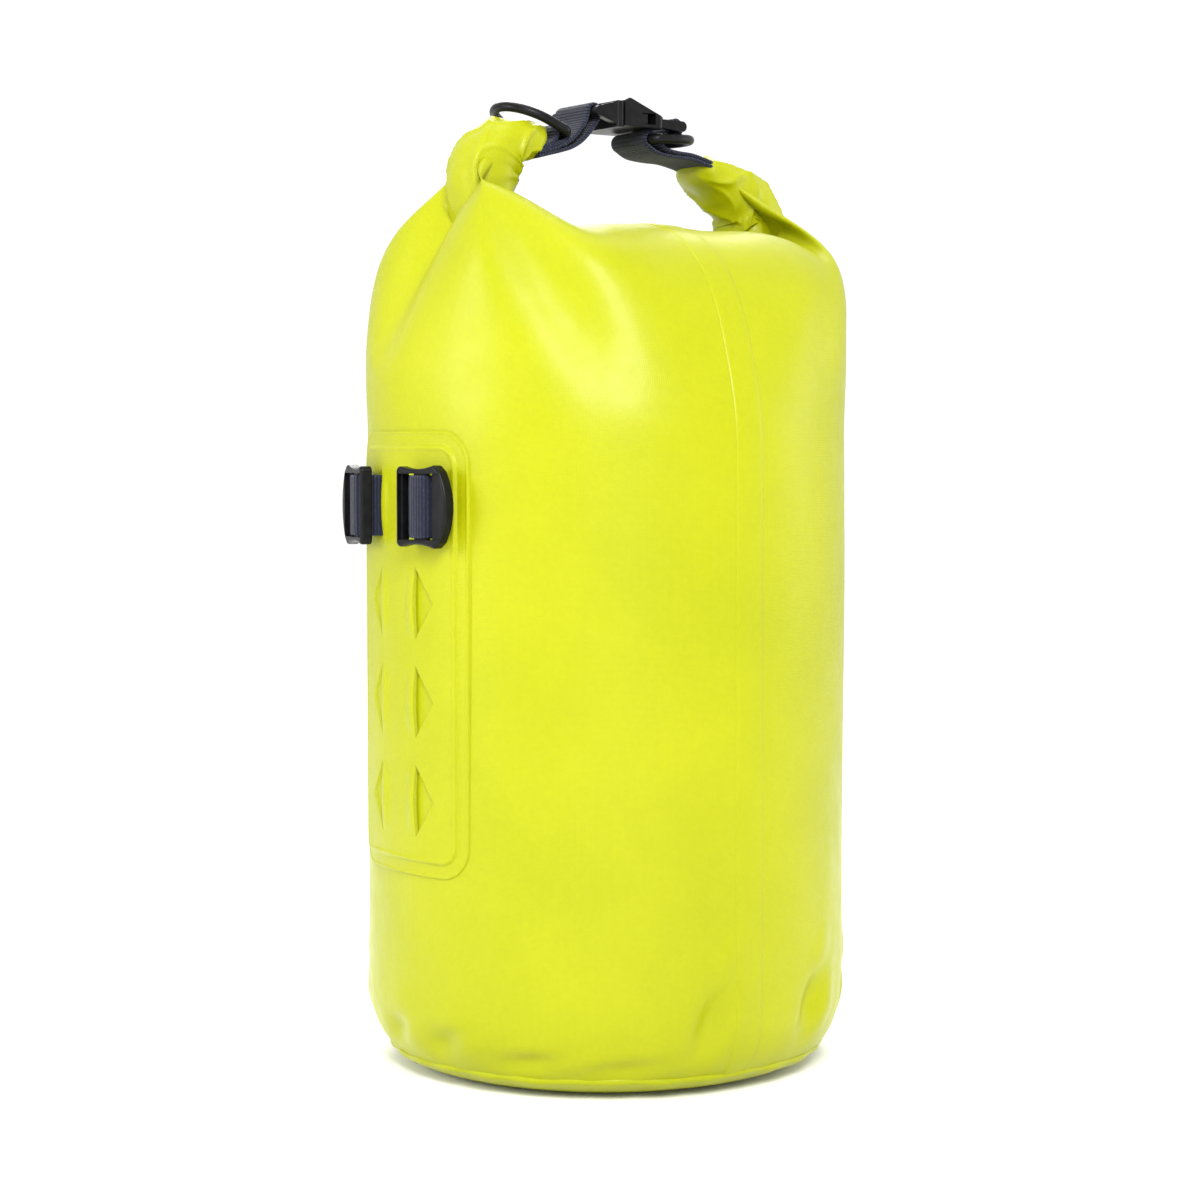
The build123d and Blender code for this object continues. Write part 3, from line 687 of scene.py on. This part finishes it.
def roll_sections(w, wide, thick, wrinkles):
    """Sections along the roll: turns of fabric one over another, wrinkled where the ends bend."""
    count = 72
    turn = np.linspace(0, 2 * math.pi, count, endpoint=False)
    made = np.stack([stadium(count, a, b) for a, b in zip(wide, thick)])
    past_lap = (turn + 0.9) % (2 * math.pi)
    lap = 1.0 * MM * smoothstep(past_lap, 0.0, 0.25) * (1 - past_lap / (2 * math.pi))
    twist = turn[None, :] + w[:, None] * 38
    folds = 1 - np.abs(np.sin(1.5 * twist + 0.6 * np.sin(w * 90)[:, None]))
    pleats = 1 - np.abs(np.sin(2.0 * turn[None, :] - w[:, None] * 52 + 0.9 * np.sin(w * 130)[:, None]))
    fine = np.sin(4 * turn[None, :] - w[:, None] * 160 + 1.3) * np.sin(w * 210)[:, None]
    push = lap[None, :] + wrinkles[:, None] * (2.0 * MM * folds**3 + 1.2 * MM * pleats**4 + 0.35 * MM * fine)
    length = np.linalg.norm(made, axis=2, keepdims=True)
    return made * (1 + push[:, :, None] / np.maximum(length, 1e-6))


# half thickness of the roll by distance from its middle, in mm
LEFT_THICK = ((58, 80, 100, 130, 150, 157), (7.0, 11.0, 12.2, 11.0, 7.6, 6.6))
RIGHT_THICK = ((58, 80, 105, 130, 150, 157), (7.0, 10.5, 12.5, 10.0, 5.8, 4.8))


def roll_piece(name, first, last, count):
    """The roll between two flat distances from its middle, in mm."""
    w = np.linspace(first, last, count) * MM
    line = closure_line(w)
    side = np.sign(w + 1e-9)
    inward = np.stack([-np.sin(line[:, 2]) * side, 0 * w, np.cos(line[:, 2])], 1)
    out = np.abs(w)
    end = smoothstep(out, 0.058, 0.100)
    thick = np.interp(out / MM, *(LEFT_THICK if side[-1] < 0 or first < -75 else RIGHT_THICK)) * MM
    offset = thick - 1.5 * MM - 1.5 * MM * (1 - end)
    centres = np.stack([line[:, 0] + SHIFT, 0 * w, line[:, 1] + MOUTH_Z], 1) + inward * offset[:, None]
    tip = smoothstep(out, 0.136, 0.157)
    wide = (12.5 + 1.0 * end) * MM * (1 - 0.06 * tip)
    sections = roll_sections(w, wide, thick, end * (1 - 0.5 * tip))
    tip_start = max(abs(first), abs(last)) * MM - 6 * MM
    rounding = np.sqrt(np.clip(1 - (np.clip(out - tip_start, 0, 1) / 0.0065) ** 2, 0.16, 1))
    sections = sections * rounding[:, None, None]
    across = np.tile(np.array([0.0, 1.0, 0.0]), (count, 1))
    piece = sweep(name, centres, across, inward, sections, LIME)
    return piece


roll = roll_piece("roll_middle", -72, 72, 90)
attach(roll, "bag")
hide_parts("closure_roll", "hem_strap", "mouth_stiffener")
for side, name in ((-1, "left"), (1, "right")):
    first, last = (-157, -60) if side < 0 else (60, 155.3)
    end_piece = roll_piece(f"roll_end_{name}", first, last, 110)
    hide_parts(f"rolled_end_{name}")
    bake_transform(end_piece)


# ---------------------------------------------------------------- tabs
def ring_round(centre, radius, start, stop, count=9):
    """Points of an arc in the XZ plane, with angles in degrees."""
    turns = np.radians(np.linspace(start, stop, count))
    return [(centre[0] + radius * math.cos(t), centre[1] + radius * math.sin(t)) for t in turns]


HANDLE_X = np.array([SHIFT, 0.0, 0.0])
STRAIGHT = (np.eye(3), HANDLE_X)
LEFT_RING, MALE_BAR = (-32.0, 386.0), (-17.0, 395.5)
RIGHT_RING, FEMALE_BAR = (11.5, 386.0), (24.5, 391.6)


def tab_piece(name, line, body, nodes_replaced=()):
    piece = ribbon(name, line, 25, 1.5, STRAIGHT)
    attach(piece, body)
    if nodes_replaced:
        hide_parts(*nodes_replaced)
    return piece


tab_piece(
    "tab_left_strap",
    [(-44.5, 377.2), (-39, 378.6), (-33, 380.6), (-27.6, 383.6), (-23.8, 387.6), (-21.0, 391.8)]
    + ring_round(MALE_BAR, 3.05, 185, -20, 8)
    + [(-15.6, 391.4), (-18.4, 387.8), (-22.4, 383.6), (-27.5, 380.4), (-33, 378.6)]
    + [(-39.5, 376.9), (-44.5, 375.6)],
    "buckle_half_left",
    ["tab_left"],
)
tab_piece(
    "tab_left_ring_loop",
    [(-43.5, 379.2), (-38.5, 381.0), (-35.6, 383.4)]
    + ring_round(LEFT_RING, 3.0, 170, -40, 7)
    + [(-31.5, 382.6), (-36.0, 380.9), (-43.0, 378.0)],
    "buckle_half_left",
)
tab_piece(
    "tab_right_strap",
    [(43.5, 376.4), (40, 377.6), (32, 379.2), (23, 379.6), (15.5, 380.6)]
    + ring_round(RIGHT_RING, 3.0, 250, 95, 7)
    + [(14.5, 387.6), (18.5, 387.7)]
    + ring_round(FEMALE_BAR, 3.05, 262, 455, 8)
    + [(20.9, 391.6), (19.6, 388.9)],
    "buckle_half_right",
    ["tab_right"],
)
tab_piece(
    "tab_right_return",
    [(16.2, 385.2), (19.5, 382.6), (25, 381.4), (33, 380.8), (39.5, 379.3), (43.5, 378.2)],
    "buckle_half_right",
)


# ---------------------------------------------------------------- lock loops
def lock_place(side):
    """Rotation and origin of a ladder lock's own frame: x away from the patch's middle, y up, z out."""
    angle = math.radians(180 + 13.4)
    out = np.array([math.cos(angle), math.sin(angle), 0.0])
    away = np.array([-math.sin(angle), math.cos(angle), 0.0])
    origin = out * (107.6 * MM) + np.array([0, 0, 234 * MM])
    if side > 0:
        flip = np.array([1.0, -1.0, 1.0])
        out, away, origin = out * flip, away * flip, origin * flip
    return np.stack([away, np.array([0.0, 0.0, 1.0]), out]), origin


for side, name in ((-1, "front"), (1, "rear")):
    loop = ribbon(
        f"lock_loop_{name}_webbing",
        [
            (-10.6, -6.6), (-9.6, -4.6), (-7.0, -3.3), (-3.6, -2.6), (0, -2.45), (3.4, -2.35), (4.75, -1.3),
            (4.9, 0.4), (3.9, 2.0), (1.6, 2.65), (-1.6, 2.65), (-3.9, 2.1), (-5.2, 0.9), (-6.4, -0.6),
            (-8.6, -1.8), (-10.9, -3.6), (-11.9, -6.4),
        ],
        24.6, 1.25, lock_place(side),
    )
    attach(loop, f"lock_{name}")
    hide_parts(f"lock_loop_{name}")


# ---------------------------------------------------------------- hardware keeps its CAD shape
HARDWARE = [
    "ladder_lock_front", "ladder_lock_rear", "d_ring_left", "d_ring_right",
    "buckle_male", "buckle_female", "buckle_prong_front", "buckle_prong_back",
]
for name in HARDWARE:
    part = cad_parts[name]
    part.data.materials.clear()
    part.data.materials.append(PLASTIC)


# ---------------------------------------------------------------- floor and light
def floor_piece():
    mesh = bpy.data.meshes.new("floor")
    mesh.from_pydata([(-6, -6, 0), (6, -6, 0), (6, 6, 0), (-6, 6, 0)], [], [(0, 1, 2, 3)])
    floor = bpy.data.objects.new("floor", mesh)
    scene.collection.objects.link(floor)
    material, nodes, links, shader = new_material("floor")
    noise = node(nodes, "ShaderNodeTexNoise", Scale=3.0)
    pale = ramp(nodes, links, noise.outputs[0], [(0.3, grey(0.93)), (0.7, grey(0.96))])
    links.new(pale, shader.inputs["Base Color"])
    shader.inputs["Roughness"].default_value = 0.9
    mesh.materials.append(material)


floor_piece()


def area_light(name, location, target, size, power):
    data = bpy.data.lights.new(name, "AREA")
    data.energy, data.size, data.shape = power, size, "DISK"
    light = bpy.data.objects.new(name, data)
    light.location = location
    light.rotation_euler = (Vector(target) - Vector(location)).to_track_quat("-Z", "Y").to_euler()
    scene.collection.objects.link(light)


area_light("key", (-0.62, -1.12, 0.95), (0, 0, 0.24), 0.6, 25)
area_light("right", (1.30, -0.60, 0.50), (0, 0, 0.22), 0.7, 5)
area_light("left", (-1.35, 0.30, 0.6), (0, 0, 0.25), 0.6, 10)
area_light("top", (0.0, 0.1, 1.5), (0, 0, 0.3), 0.9, 6)
area_light("back", (0.60, 1.05, 1.25), (0, 0, 0.20), 0.9, 16)
world = bpy.data.worlds.new("studio")
world.use_nodes = True
world.node_tree.nodes["Background"].inputs[0].default_value = (1, 1, 1, 1)
world.node_tree.nodes["Background"].inputs[1].default_value = 1.06
scene.world = world
scene.view_settings.view_transform = "Standard"
